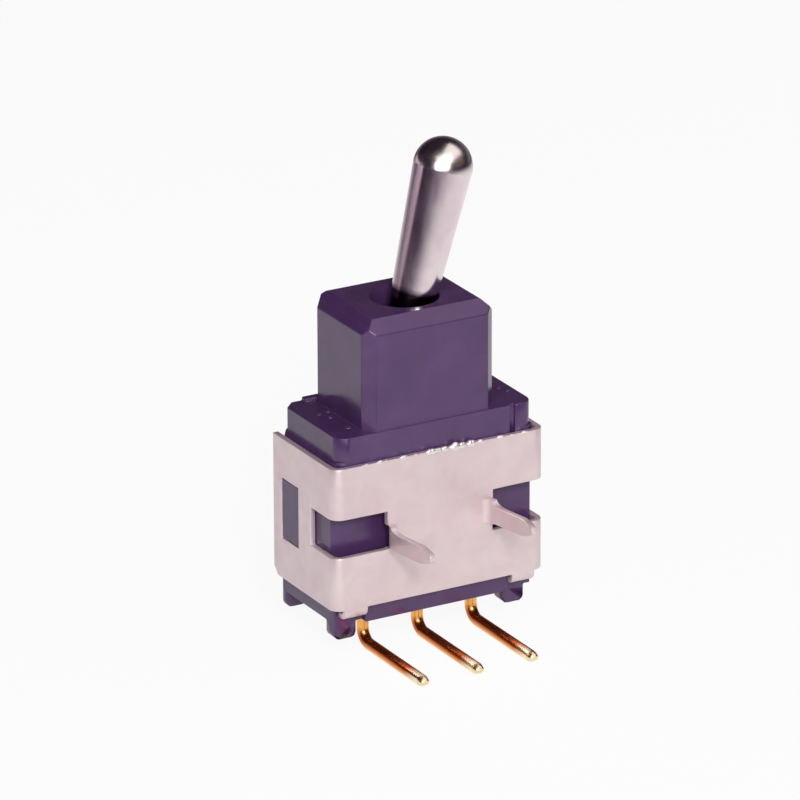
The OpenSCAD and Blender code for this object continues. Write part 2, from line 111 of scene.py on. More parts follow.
class Shader:
    """A small helper round one node tree with a Principled shader."""

    def __init__(self, name: str) -> None:
        """Makes the material.

        Args:
            name: Name of the material.
        """
        self.material = bpy.data.materials.new(name)
        self.material.use_nodes = True
        self.nodes = self.material.node_tree.nodes
        self.links = self.material.node_tree.links
        self.bsdf = self.nodes["Principled BSDF"]
        self.coordinates = self.nodes.new("ShaderNodeTexCoord").outputs["Object"]

    def set(self, **values: float | Sequence[float]) -> None:
        """Sets sockets of the shader.

        Args:
            **values: Socket names, with underscores for spaces, and their values.
        """
        for name, value in values.items():
            self.bsdf.inputs[name.replace("_", " ")].default_value = value

    def link(self, source: bpy.types.NodeSocket, target: bpy.types.NodeSocket) -> None:
        """Links two sockets.

        Args:
            source: Output socket.
            target: Input socket.
        """
        self.links.new(source, target)

    def noise(self, size: float, stretch: Sequence[float] = (1, 1, 1), detail: float = 3,
              distortion: float = 0.0) -> bpy.types.NodeSocket:
        """Adds a noise texture.

        Args:
            size: Size of its features, in metres.
            stretch: How many times longer the features are along X, Y and Z.
            detail: Octaves.
            distortion: Distortion of the pattern.

        Returns:
            The noise's value, from 0 to 1.
        """
        mapping = self.nodes.new("ShaderNodeMapping")
        mapping.inputs["Scale"].default_value = [1 / (size * s) for s in stretch]
        self.link(self.coordinates, mapping.inputs["Vector"])
        texture = self.nodes.new("ShaderNodeTexNoise")
        texture.inputs["Scale"].default_value = 1
        texture.inputs["Detail"].default_value = detail
        texture.inputs["Distortion"].default_value = distortion
        self.link(mapping.outputs["Vector"], texture.inputs["Vector"])
        return texture.outputs["Fac"]

    def spread(self, value: bpy.types.NodeSocket, low: float, high: float,
               start: float = 0.3, stop: float = 0.7) -> bpy.types.NodeSocket:
        """Maps a varying value onto a range.

        Args:
            value: The varying value.
            low: Result at the start.
            high: Result at the stop.
            start: Value that gives the low result.
            stop: Value that gives the high result.

        Returns:
            The mapped value.
        """
        node = self.nodes.new("ShaderNodeMapRange")
        for name, number in (("From Min", start), ("From Max", stop), ("To Min", low), ("To Max", high)):
            node.inputs[name].default_value = number
        self.link(value, node.inputs["Value"])
        return node.outputs["Result"]

    def along(self, direction: Vector) -> bpy.types.NodeSocket:
        """Measures how far a point lies along a direction.

        Args:
            direction: The direction, of length 1.

        Returns:
            The distance from the origin, in metres.
        """
        node = self.nodes.new("ShaderNodeVectorMath")
        node.operation = "DOT_PRODUCT"
        node.inputs[1].default_value = direction
        self.link(self.coordinates, node.inputs[0])
        return node.outputs["Value"]

    def mix(self, factor: bpy.types.NodeSocket, first: Colour | bpy.types.NodeSocket,
            second: Colour) -> bpy.types.NodeSocket:
        """Mixes two colours by a varying value.

        Args:
            factor: The varying value, from 0 to 1.
            first: Colour at 0, which may be a mixed one.
            second: Colour at 1.

        Returns:
            The mixed colour.
        """
        node = self.nodes.new("ShaderNodeMix")
        node.data_type = "RGBA"
        if isinstance(first, bpy.types.NodeSocket):
            self.link(first, node.inputs["A"])
        else:
            node.inputs["A"].default_value = (*first, 1)
        node.inputs["B"].default_value = (*second, 1)
        self.link(factor, node.inputs["Factor"])
        return node.outputs["Result"]

    def bump(self, heights: Iterable[tuple[bpy.types.NodeSocket, float]]) -> None:
        """Adds relief to the surface.

        Args:
            heights: Varying heights, each with its depth in metres.
        """
        normal = None
        for value, depth in heights:
            node = self.nodes.new("ShaderNodeBump")
            node.inputs["Strength"].default_value = 1
            node.inputs["Distance"].default_value = depth
            self.link(value, node.inputs["Height"])
            if normal is not None:
                self.link(normal, node.inputs["Normal"])
            normal = node.outputs["Normal"]
        self.link(normal, self.bsdf.inputs["Normal"])


@dataclass(frozen=True)
class MouldedFinish:
    """Moulded plastic: a slight mottle and a fine skin."""

    name: str
    colour: Colour
    roughness: float = 0.2
    ior: float = 1.5
    mottle: float = 0.12
    skin: float = 0.0000006
    cloud_l: float = 1.4 * MM
    smear_l: float = 0.6 * MM
    wave_l: float = 0.9 * MM
    grain_l: float = 0.05 * MM
    smear: tuple[float, float] = (0.75, 1.35)

    def make(self) -> bpy.types.Material:
        """Builds the material.

        Returns:
            The material.
        """
        s = Shader(self.name)
        s.set(IOR=self.ior)
        cloud = s.noise(self.cloud_l, detail=4, distortion=0.4)
        dark = tuple(c * (1 - self.mottle) for c in self.colour)
        light = tuple(c * (1 + self.mottle) for c in self.colour)
        s.link(s.mix(s.spread(cloud, 0, 1), dark, light), s.bsdf.inputs["Base Color"])
        smear = s.noise(self.smear_l, detail=5)
        smooth, rough = (self.roughness * share for share in self.smear)
        s.link(s.spread(smear, smooth, rough), s.bsdf.inputs["Roughness"])
        s.bump([(s.noise(self.wave_l, detail=2), self.skin * 10),
                (s.noise(self.grain_l, detail=2), self.skin)])
        return s.material


@dataclass(frozen=True)
class Fade:
    """A change of a metal's colour along one direction, between two distances from the origin."""

    along: Vector
    start: float
    stop: float
    colour: Colour


@dataclass(frozen=True)
class MetalFinish:
    """Plated or bare metal: rolling or drawing lines, blotches and fine scratches."""

    name: str
    colour: Colour
    tint: Colour
    roughness: float
    lines: Sequence[float] = (14, 1, 1)
    line_depth: float = 0.0000008
    wave_depth: float = 0.000004
    scratch: float = 0.0
    metallic: float = 1.0
    fades: tuple[Fade, ...] = ()
    blotch_l: float = 1.1 * MM
    streak_l: float = 0.5 * MM
    grain_l: float = 0.07 * MM
    wave_l: float = 1.6 * MM
    scratch_l: float = 0.12 * MM
    streak: tuple[float, float] = (0.8, 1.25)

    def make(self) -> bpy.types.Material:
        """Builds the material.

        Returns:
            The material.
        """
        s = Shader(self.name)
        s.set(Metallic=self.metallic)
        blotch = s.noise(self.blotch_l, detail=5, distortion=0.6)
        colour = s.mix(s.spread(blotch, 0, 1), self.colour, self.tint)
        for fade in self.fades:
            colour = s.mix(s.spread(s.along(fade.along), 0, 1, fade.start, fade.stop), colour, fade.colour)
        s.link(colour, s.bsdf.inputs["Base Color"])
        grain = s.noise(self.grain_l, self.lines, detail=2)
        low, high = (self.roughness * share for share in self.streak)
        rough = s.spread(s.noise(self.streak_l, self.lines, detail=2), low, high)
        heights = [(s.noise(self.wave_l, detail=2), self.wave_depth), (grain, self.line_depth)]
        if self.scratch:
            marks = s.noise(self.scratch_l, (1, 1, 12), detail=2, distortion=1.5)
            heights.append((s.spread(marks, 0, 1, 0.66, 0.72), -self.scratch))
        s.link(rough, s.bsdf.inputs["Roughness"])
        s.bump(heights)
        return s.material


class Finishes:
    """All finishes of the switch, made once each."""

    def __init__(self, pivot: Vector, tilt: float) -> None:
        """Builds the materials.

        Args:
            pivot: The lever's pivot.
            tilt: The lever's lean at rest, in radians.
        """
        down = -Vector((math.sin(tilt), 0, math.cos(tilt)))
        foot = down.dot(pivot) - FOOT_S
        outward, up = Vector((0, -1, 0)), Vector((0, 0, 1))
        self.plastic = MouldedFinish("housing_plastic", (0.067, 0.030, 0.104), 0.17).make()
        # Painted shade: the faces inside the lever's mouth get this near-black plastic, for the shade that
        # falls in there.
        self.mouth = MouldedFinish("mouth_painted_shade", (0.007, 0.003, 0.007), 0.45, ior=1.3).make()
        self.sheet = MetalFinish("tinned_steel", (0.685, 0.555, 0.595), (0.73, 0.625, 0.635), 0.39,
                                 scratch=0.000001, metallic=0.57).make()
        # Cut edges of the sheet: bare cut steel, painted darker to stand in for the shade and dark
        # reflections these faces show.
        self.sheared = MetalFinish("sheared_steel_and_shade", (0.44, 0.37, 0.40), (0.58, 0.50, 0.52), 0.3).make()
        self.torn = MetalFinish("torn_steel", (0.90, 0.84, 0.85), (0.95, 0.91, 0.91), 0.45).make()
        # Painted shade on the gold: from just above the wires' axis it turns dark red-brown for the dark
        # their upper side reflects, and orange again higher up at the bends; towards the tips it turns paler.
        self.gold = MetalFinish("gold_plate", (0.86, 0.42, 0.11), (0.94, 0.56, 0.20), 0.27, lines=(1, 14, 1),
                                line_depth=0.00000003, wave_depth=0.000001, fades=(
                                    Fade(up, -0.1 * MM, 0.06 * MM, (0.55, 0.13, 0.03)),
                                    Fade(up, 0.3 * MM, 0.65 * MM, (0.90, 0.48, 0.14)),
                                    Fade(outward, 2.2 * MM, 3.1 * MM, (0.96, 0.84, 0.56)))).make()
        # The wires' tips get this paler gold.
        self.bare = MetalFinish("gold_pale_tip", (0.95, 0.80, 0.52), (0.93, 0.72, 0.40), 0.25).make()
        self.silver = MetalFinish("contact_silver", (0.78, 0.75, 0.70), (0.70, 0.66, 0.60), 0.25).make()
        # Painted shade: below this line the satin shaft turns near black, standing in for the shade in the
        # mouth round its foot.
        painted_foot_shade = Fade(down, foot - FOOT_FADE, foot + FOOT_FADE, (0.04, 0.02, 0.035))
        self.satin = MetalFinish("nickel_satin", (0.74, 0.61, 0.665), (0.81, 0.72, 0.73), 0.2,
                                 lines=(1, 1, 10), line_depth=0.0000004, wave_depth=0.000005,
                                 fades=(painted_foot_shade,)).make()
        self.polish = MetalFinish("nickel_polished", (0.80, 0.72, 0.72), (0.84, 0.78, 0.76), 0.25,
                                  line_depth=0.0000001, wave_depth=0.000003).make()
        self.steel = MetalFinish("spring_steel", (0.62, 0.62, 0.64), (0.70, 0.70, 0.71), 0.22).make()
        self.nylon = MouldedFinish("nylon", (0.72, 0.69, 0.60), 0.42, mottle=0.04).make()
        self.resin = MouldedFinish("resin", (0.13, 0.065, 0.05), 0.2, skin=0.000001).make()
        self.rubber = MouldedFinish("seal_rubber", (0.022, 0.02, 0.023), 0.55, skin=0.000001).make()


def add_object(name: str, mesh: bpy.types.Mesh, materials: Sequence[bpy.types.Material]) -> bpy.types.Object:
    """Puts a mesh in the scene.

    Args:
        name: Name of the object.
        mesh: Its mesh.
        materials: Its materials, in slot order.

    Returns:
        The new object.
    """
    mesh.materials.clear()
    for material in materials:
        mesh.materials.append(material)
    piece = bpy.data.objects.new(name, mesh)
    bpy.context.scene.collection.objects.link(piece)
    return piece


def add_mesh(name: str, points: Sequence[Vector], faces: Sequence[Sequence[int]]) -> bpy.types.Mesh:
    """Makes a smooth mesh with outward faces.

    Args:
        name: Name of the mesh.
        points: Vertices.
        faces: Vertex numbers of each face.

    Returns:
        The mesh.
    """
    mesh = bpy.data.meshes.new(name)
    mesh.from_pydata([tuple(p) for p in points], [], [tuple(f) for f in faces])
    work = bmesh.new()
    work.from_mesh(mesh)
    bmesh.ops.recalc_face_normals(work, faces=work.faces)
    work.to_mesh(mesh)
    work.free()
    mesh.polygons.foreach_set("use_smooth", [True] * len(mesh.polygons))
    return mesh


def sharpen(piece: bpy.types.Object, degrees: float) -> None:
    """Marks the edges that bend by more than an angle as sharp.

    Args:
        piece: The object.
        degrees: The angle.
    """
    work = bmesh.new()
    work.from_mesh(piece.data)
    for edge in work.edges:
        if len(edge.link_faces) == 2:
            edge.smooth = edge.calc_face_angle(0) < math.radians(degrees)
    work.to_mesh(piece.data)
    work.free()


def band(first: int, count: int) -> list[Sequence[int]]:
    """Lists the faces between one ring of points and the next.

    Args:
        first: Number of the ring's first point.
        count: How many points a ring has.

    Returns:
        Vertex numbers of each face.
    """
    after = first + count
    return [(first + k, after + k, after + (k + 1) % count, first + (k + 1) % count) for k in range(count)]


def is_hollow(face: bmesh.types.BMFace) -> bool:
    """Tells whether a face turns inwards at some corner.

    Args:
        face: The face.

    Returns:
        True for a concave outline.
    """
    for loop in face.loops:
        before = loop.vert.co - loop.link_loop_prev.vert.co
        after = loop.link_loop_next.vert.co - loop.vert.co
        if before.cross(after).dot(face.normal) < -STRAIGHT * before.length * after.length:
            return True
    return False


@dataclass
class SoftEdges:
    """A copy of a CAD node whose edges are broken by a small round, as on the real moulding or sheet.

    The mouldings' faces with inward corners are split first, because the round would leave them badly
    filled. Those that face up stay whole, which keeps their shading even.
    """

    node: str
    width: float
    segments: int = 2
    angle: float = 24.0
    fineness: Callable[[Vector], float] | None = None
    is_cut_or_shaded: Callable[[bmesh.types.BMFace], bool] | None = None
    split: bool = False
    weld: float = 0.0008 * MM
    flat: float = 0.6
    upward: float = 0.9

    def weigh(self, work: bmesh.types.BMesh) -> None:
        """Gives every edge that bends its share of the round.

        Args:
            work: The mesh.
        """
        layer = work.edges.layers.float.new("bevel_weight_edge")
        for edge in work.edges:
            if len(edge.link_faces) != 2 or edge.calc_face_angle(0) < math.radians(self.angle):
                continue
            middle = (edge.verts[0].co + edge.verts[1].co) / 2
            edge[layer] = self.fineness(middle) if self.fineness else 1.0
            edge.smooth = edge[layer] > 0

    def make(self, cad: bpy.types.Object, body: Body, *materials: bpy.types.Material) -> bpy.types.Object:
        """Builds the piece, and lets it stand for its CAD node.

        Args:
            cad: The CAD node's object.
            body: The body it moves with.
            *materials: Its finish, and that of its cut faces or of its faces painted with shade, where it has
                        them.

        Returns:
            The piece.
        """
        work = bmesh.new()
        work.from_mesh(cad.data)
        bmesh.ops.remove_doubles(work, verts=work.verts, dist=self.weld)
        bmesh.ops.dissolve_limit(work, angle_limit=math.radians(self.flat), verts=work.verts,
                                 edges=work.edges)
        self.weigh(work)
        if self.split:
            hollow = [face for face in work.faces if face.normal.z < self.upward and is_hollow(face)]
            bmesh.ops.triangulate(work, faces=hollow)
        for face in work.faces:
            face.smooth = True
            # The second finish goes on the cut faces, or on the faces painted with shade.
            face.material_index = 1 if self.is_cut_or_shaded and self.is_cut_or_shaded(face) else 0
        mesh = bpy.data.meshes.new(self.node + "_piece")
        work.to_mesh(mesh)
        work.free()
        piece = add_object(self.node + "_piece", mesh, materials)
        bevel = piece.modifiers.new("edges", "BEVEL")
        bevel.width = self.width
        bevel.segments = self.segments
        bevel.limit_method = "WEIGHT"
        bevel.use_clamp_overlap = False
        bevel.miter_outer = "MITER_ARC"
        bevel.material = 0
        normals = piece.modifiers.new("normals", "WEIGHTED_NORMAL")
        normals.weight = 100
        normals.keep_sharp = True
        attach(piece, body.value)
        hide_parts(self.node)
        return piece


@dataclass
class BatLever:
    """The turned lever: polished tip, satin shaft, ball and hollow arm."""

    sides: int = 96
    neck_r: float = 0.9 * MM
    ball_r: float = 1.25 * MM
    neck_s: float = 0.85 * MM
    arm_r: float = 0.85 * MM
    bore_r: float = 0.55 * MM
    bore_depth: float = 1.7 * MM
    lip: float = 0.004 * MM
    chamfer: float = 0.08 * MM
    cap_rows: int = 28
    shaft_rows: int = 24
    ball_rows: int = 20
    crease: float = 35

    def profile(self, bat_l: float, tip_r: float, arm_l: float) -> list[tuple[float, float]]:
        """Lists the outline from the tip down to the bore's end.

        Args:
            bat_l: Distance from the pivot to the middle of the tip.
            tip_r: Radius of the tip.
            arm_l: Length of the arm below the pivot.

        Returns:
            Radius and height of each point; the first ones are the tip's.
        """
        lip, cap, rows, turns = self.lip, self.cap_rows, self.shaft_rows, self.ball_rows
        points = [(tip_r * math.sin(a), bat_l + tip_r * math.cos(a))
                  for a in (math.pi / 2 * i / cap for i in range(1, cap + 1))]
        points += [(tip_r - lip, bat_l - lip)]
        points += [(tip_r - lip + (self.neck_r - tip_r + lip) * i / rows,
                    bat_l - lip + (self.neck_s - bat_l) * i / rows) for i in range(1, rows + 1)]
        start = math.asin(self.neck_r / self.ball_r)
        end = math.pi - math.asin(self.arm_r / self.ball_r)
        points += [(self.ball_r * math.sin(a), self.ball_r * math.cos(a))
                   for a in (start + (end - start) * i / turns for i in range(1, turns + 1))]
        points += [(self.arm_r, -arm_l + self.chamfer), (self.arm_r - self.chamfer, -arm_l),
                   (self.bore_r, -arm_l), (self.bore_r, -self.bore_depth)]
        return points

    def make(self, pivot: Vector, tilt: float, finishes: Finishes) -> bpy.types.Object:
        """Builds the lever round its pivot, and lets it stand for its CAD node.

        Args:
            pivot: The pivot's place.
            tilt: The lever's lean at rest, in radians.
            finishes: The finishes.

        Returns:
            The piece.
        """
        low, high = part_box("lever")
        reach_x, reach_z = high[0] - pivot.x, high[2] - pivot.z
        bat_l = (reach_z - reach_x) / (math.cos(tilt) - math.sin(tilt))
        tip_r = reach_x - bat_l * math.sin(tilt)
        arm_l = (pivot.z - low[2] - self.arm_r * math.sin(tilt)) / math.cos(tilt)
        outline = self.profile(bat_l, tip_r, arm_l)
        place = Matrix.Translation(pivot) @ Matrix.Rotation(tilt, 4, "Y")
        points = [place @ Vector((0, 0, bat_l + tip_r))]
        for r, s in outline:
            for k in range(self.sides):
                a = 2 * math.pi * k / self.sides
                points.append(place @ Vector((r * math.cos(a), r * math.sin(a), s)))
        points.append(place @ Vector((0, 0, -self.bore_depth)))
        n = self.sides
        faces: list[Sequence[int]] = [(0, 1 + k, 1 + (k + 1) % n) for k in range(n)]
        for row in range(len(outline) - 1):
            faces += band(1 + row * n, n)
        last = 1 + (len(outline) - 1) * n
        faces += [(last + k, len(points) - 1, last + (k + 1) % n) for k in range(n)]
        mesh = add_mesh("lever_piece", points, faces)
        piece = add_object("lever_piece", mesh, [finishes.polish, finishes.satin])
        polished = n * self.cap_rows
        for i, face in enumerate(mesh.polygons):
            face.material_index = 0 if i < polished else 1
        sharpen(piece, self.crease)
        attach(piece, Body.LEVER.value)
        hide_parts("lever")
        return piece


@dataclass
class WireTerminal:
    """A round wire bent at a right angle, cut to a blunt point."""

    node: str
    sides: int = 40
    bend_r: float = 0.6 * MM
    point_l: float = 0.3 * MM
    pale_tip_l: float = 0.42 * MM
    bend_rows: int = 12
    crease: float = 32
    # Along the point: share of its length, of the radius across and of the radius up and down.
    point_rows: tuple[tuple[float, float, float], ...] = (
        (1.0, 1, 1), (0.7, 0.97, 0.9), (0.35, 0.88, 0.7), (0.08, 0.74, 0.46), (0, 0.62, 0.34))

    def make(self, *materials: bpy.types.Material) -> bpy.types.Object:
        """Builds the wire along the CAD node's path, and lets it stand for that node.

        Args:
            *materials: Its finish, and that of its paler tip.

        Returns:
            The piece.
        """
        low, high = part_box(self.node)
        r = (high[0] - low[0]) / 2
        x, axis_z, up_y, tip_y, top = low[0] + r, low[2] + r, high[1] - r, low[1], high[2]
        path: list[tuple[Vector, Vector, float, float]] = []
        down, out = Vector((0, 0, -1)), Vector((0, -1, 0))
        path.append((Vector((x, up_y, top)), down, r, r))
        path.append((Vector((x, up_y, axis_z + self.bend_r + r)), down, r, r))
        for i in range(self.bend_rows + 1):
            a = math.pi / 2 * i / self.bend_rows
            centre = Vector((x, up_y - self.bend_r, axis_z + self.bend_r))
            place = centre + self.bend_r * Vector((0, math.cos(a), -math.sin(a)))
            path.append((place, down * math.cos(a) + out * math.sin(a), r, r))
        for share, wide, tall in self.point_rows:
            path.append((Vector((x, tip_y + self.point_l * share, axis_z)), out, r * wide, r * tall))
        points: list[Vector] = []
        side = Vector((1, 0, 0))
        for place, along, wide, tall in path:
            cross = along.cross(side)
            for k in range(self.sides):
                a = 2 * math.pi * k / self.sides
                points.append(place + side * (wide * math.cos(a)) + cross * (tall * math.sin(a)))
        n = self.sides
        faces: list[Sequence[int]] = [tuple(range(n)), tuple(range((len(path) - 1) * n, len(path) * n))]
        for row in range(len(path) - 1):
            faces += band(row * n, n)
        piece = add_object(self.node + "_piece", add_mesh(self.node + "_piece", points, faces), materials)
        for face in piece.data.polygons:
            face.material_index = 1 if face.center.y < tip_y + self.pale_tip_l else 0
        sharpen(piece, self.crease)
        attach(piece, Body.HOUSING.value)
        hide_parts(self.node)
        return piece


@dataclass
class ShearBurr:
    """The torn upper edge of the frame's front wall: a fine bead with nicks of lifted metal."""

    steps: int = 420
    bead_h: float = 0.012 * MM
    depth: float = 0.17 * MM
    sink: float = 0.05 * MM
    skin: float = 0.012 * MM
    bulge: float = 0.5
    inset: float = 0.6 * MM
    ragged_l: float = 0.12 * MM
    bead_l: float = 0.3 * MM
    crease: float = 60
    # Place, half width and height of each nick, in millimetres.
    nicks: tuple[tuple[float, float, float], ...] = (
        (-3.30, 0.16, 0.04), (-2.64, 0.16, 0.07), (-2.36, 0.09, 0.05), (-1.53, 0.17, 0.08),
        (-0.98, 0.08, 0.05), (-0.24, 0.20, 0.12), (0.08, 0.13, 0.09), (0.38, 0.14, 0.10),
        (0.88, 0.24, 0.16), (1.22, 0.12, 0.11), (1.62, 0.17, 0.14), (2.05, 0.10, 0.06), (2.98, 0.16, 0.06),
        (3.5, 0.09, 0.04), (4.11, 0.14, 0.05))

    def nick(self, x: float) -> float:
        """Works out how far a nick lifts the metal.

        Args:
            x: Place along the edge.

        Returns:
            Its height there.
        """
        ragged = 0.85 + 0.3 * noise.noise(Vector((x / self.ragged_l, 2.1, 0.2)))
        return ragged * sum(tall * MM * math.exp(-((x / MM - place) / wide) ** 4)
                            for place, wide, tall in self.nicks)

    def make(self, material: bpy.types.Material) -> bpy.types.Object:
        """Builds the burr along the front wall's upper edge.

        Args:
            material: Its finish.

        Returns:
            The piece.
        """
        low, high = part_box("frame")
        x0, x1 = low[0] + self.inset, high[0] - self.inset
        z = high[2]
        points: list[Vector] = []
        for i in range(self.steps + 1):
            x = x0 + (x1 - x0) * i / self.steps
            nick = self.nick(x)
            tall = nick + self.bead_h * (0.3 + 2 * abs(noise.noise(Vector((x / self.bead_l, 0.3, 0.7)))))
            front = self.skin - nick * self.bulge
            section = ((self.depth, z - self.sink), (self.skin, z - self.sink - nick * 0.9),
                       (front, z - self.skin), (front + tall * 0.3, z + tall * 0.7),
                       (self.depth * 0.45, z + tall), (self.depth, z + tall * 0.5))
            points += [Vector((x, y, height)) for y, height in section]
        rim = 6
        faces: list[Sequence[int]] = [tuple(range(rim)), tuple(range(len(points) - rim, len(points)))]
        for i in range(self.steps):
            faces += band(rim * i, rim)
        piece = add_object("frame_burr", add_mesh("frame_burr", points, faces), [material])
        sharpen(piece, self.crease)
        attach(piece, Body.HOUSING.value)
        return piece


@dataclass
class MouldPips:
    """Low round marks that the mould leaves on the flange's top."""

    # Place and radius of each mark, in millimetres.
    places: tuple[tuple[float, float, float], ...] = (
        (-3.11, 4.62, 0.10), (-3.64, 3.26, 0.17), (-3.18, 3.33, 0.16), (-3.42, 2.72, 0.14),
        (-3.33, 1.39, 0.19), (4.02, 2.95, 0.13), (4.12, 2.22, 0.15), (4.27, 1.74, 0.14))
    top: float = 9.53 * MM
    height: float = 0.075 * MM
    sink: float = 0.004 * MM
    rings: int = 5
    sides: int = 24

    def make(self, material: bpy.types.Material) -> bpy.types.Object:
        """Builds the marks as one piece.

        Args:
            material: Their finish.

        Returns:
            The piece.
        """
        points: list[Vector] = []
        faces: list[Sequence[int]] = []
        for x, y, r in self.places:
            first = len(points)
            points.append(Vector((x * MM, y * MM, self.top + self.height)))
            for ring in range(1, self.rings + 1):
                share = ring / self.rings
                wide = r * MM * share
                z = self.top + self.height * (1 - share ** 2) - self.sink * (ring == self.rings)
                for k in range(self.sides):
                    a = 2 * math.pi * k / self.sides
                    points.append(Vector((x * MM + wide * math.cos(a), y * MM + wide * math.sin(a), z)))
            n = self.sides
            faces += [(first, first + 1 + k, first + 1 + (k + 1) % n) for k in range(n)]
            for ring in range(self.rings - 1):
                faces += band(first + 1 + ring * n, n)
            last = first + 1 + (self.rings - 1) * n
            faces.append(tuple(range(last, last + n)))
        piece = add_object("flange_marks", add_mesh("flange_marks", points, faces), [material])
        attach(piece, Body.HOUSING.value)
        return piece


def dress(nodes: dict[str, bpy.types.Object], finish: bpy.types.Material,
          *names: str) -> list[bpy.types.Object]:
    """Gives CAD nodes their finish.

    Args:
        nodes: All CAD nodes.
        finish: The finish.
        *names: The nodes that get it.

    Returns:
        The dressed nodes.
    """
    for name in names:
        nodes[name].data.materials.clear()
        nodes[name].data.materials.append(finish)
    return [nodes[name] for name in names]


@dataclass
class Housing:
    """The moulded case and base in their folded frame."""

    nodes: dict[str, bpy.types.Object]
    finishes: Finishes
    case_round: float = 0.045 * MM
    base_round: float = 0.04 * MM
    frame_round: float = 0.03 * MM
    mouth_reach: float = 1.6 * MM
    mouth_share: float = 0.4
    frame_gap: float = 0.2 * MM
    front_t: float = 0.3 * MM
    root_l: float = 0.9 * MM

    def case_fineness(self, pivot: Vector) -> Callable[[Vector], float]:
        """Makes the rule for how round each of the case's edges is.

        Args:
            pivot: The lever's pivot.

        Returns:
            A function from an edge's middle to its share of the round.
        """
        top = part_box("frame")[1][2] + self.frame_gap

        def share(place: Vector) -> float:
            """Leaves the edges inside the frame as cut, and keeps the mouth's rim fine.

            Args:
                place: Middle of an edge.

            Returns:
                Its share of the round.
            """
            if place.z < top:
                return 0.0
            near = math.hypot(place.x - pivot.x, place.y - pivot.y) < self.mouth_reach
            return self.mouth_share if near else 1.0

        return share

    def frame_fineness(self) -> Callable[[Vector], float]:
        """Makes the rule for how round each of the frame's edges is.

        Returns:
            A function from an edge's middle to its share of the round.
        """
        legs = [v.co for v in self.nodes["frame"].data.vertices if v.co.y < -self.root_l]
        sides = ([p for p in legs if p.x < 0], [p for p in legs if p.x > 0])
        middles = [sum(side, Vector()) / len(side) for side in sides]

        def share(place: Vector) -> float:
            """Leaves the edges round the roots of the legs as cut.

            Args:
                place: Middle of an edge.

            Returns:
                Its share of the round.
            """
            near = any(max(abs(place.x - m.x), abs(place.z - m.z)) < self.root_l for m in middles)
            return 0.0 if near and place.y > -self.root_l else 1.0

        return share

    def is_mouth_shade(self, pivot: Vector) -> Callable[[bmesh.types.BMFace], bool]:
        """Makes the rule that finds the case's faces inside the lever's mouth, which get the near-black
        painted shade.

        Args:
            pivot: The lever's pivot.

        Returns:
            A function from a face to True where it lies in the mouth.
        """

        def inside(face: bmesh.types.BMFace) -> bool:
            """Takes the faces near the lever's axis that don't look straight up.

            Args:
                face: A face of the case.

            Returns:
                True for a face of the mouth.
            """
            middle = face.calc_center_median()
            near = math.hypot(middle.x - pivot.x, middle.y - pivot.y) < self.mouth_reach
            return near and middle.z > pivot.z and face.normal.z < 0.95

        return inside

    def is_sheared(self, face: bmesh.types.BMFace) -> bool:
        """Tells whether a face is a sheared edge of the frame's sheet, which gets the darker cut-edge finish,
        partly painted shade.

        Args:
            face: A face of the frame.

        Returns:
            True where the sheet was cut.
        """
        behind = face.calc_center_median().y > self.front_t
        return abs(face.normal.z) > 0.9 or (abs(face.normal.y) > 0.9 and behind)

    def build(self, pivot: Vector) -> list[bpy.types.Object]:
        """Builds the housing's pieces.

        Args:
            pivot: The lever's pivot.

        Returns:
            The pieces.
        """
        f = self.finishes
        # The case's mouth faces get the near-black painted shade.
        case = SoftEdges("case", self.case_round, fineness=self.case_fineness(pivot),
                         is_cut_or_shaded=self.is_mouth_shade(pivot), split=True)
        base = SoftEdges("base", self.base_round, split=True)
        # The frame's cut edges get the darker steel, partly painted shade.
        frame = SoftEdges("frame", self.frame_round, fineness=self.frame_fineness(), is_cut_or_shaded=self.is_sheared)
        return [case.make(self.nodes["case"], Body.HOUSING, f.plastic, f.mouth),
                base.make(self.nodes["base"], Body.HOUSING, f.plastic),
                frame.make(self.nodes["frame"], Body.HOUSING, f.sheet, f.sheared),
                ShearBurr().make(f.torn),
                MouldPips().make(f.plastic),
                *dress(self.nodes, f.rubber, "seal_ring")]


@dataclass
class LeverUnit:
    """The lever with its pin, plunger and spring."""

    nodes: dict[str, bpy.types.Object]
    finishes: Finishes

    def build(self, pivot: Vector, tilt: float) -> list[bpy.types.Object]:
        """Builds the lever's pieces.

        Args:
            pivot: The lever's pivot.
            tilt: The lever's lean at rest, in radians.

        Returns:
            The pieces.
        """
        f = self.finishes
        return [BatLever().make(pivot, tilt, f),
                *dress(self.nodes, f.steel, "pivot_pin", "plunger_spring"),
                *dress(self.nodes, f.nylon, "plunger")]


@dataclass
class ContactUnit:
    """The fixed contacts, the cradle and the rocker."""

    nodes: dict[str, bpy.types.Object]
    finishes: Finishes

    def build(self) -> list[bpy.types.Object]:
        """Dresses the contacts.

        Returns:
            The pieces.
        """
        f = self.finishes
        return [*dress(self.nodes, f.gold, "plate_left", "plate_right", "cradle", "rocker"),
                *dress(self.nodes, f.silver, "button_left", "button_right", "rocker_tip_left",
                       "rocker_tip_right")]


@dataclass
class TerminalRow:
    """The three wire terminals in their resin."""

    nodes: dict[str, bpy.types.Object]
    finishes: Finishes
    names: tuple[str, ...] = ("terminal_left", "terminal_common", "terminal_right")
    seal_round: float = 0.05 * MM

    def build(self) -> list[bpy.types.Object]:
        """Builds the wires and their resin.

        Returns:
            The pieces.
        """
        wires = [WireTerminal(name).make(self.finishes.gold, self.finishes.bare) for name in self.names]
        seal = SoftEdges("terminal_seal", self.seal_round)
        return [*wires, seal.make(self.nodes["terminal_seal"], Body.HOUSING, self.finishes.resin)]


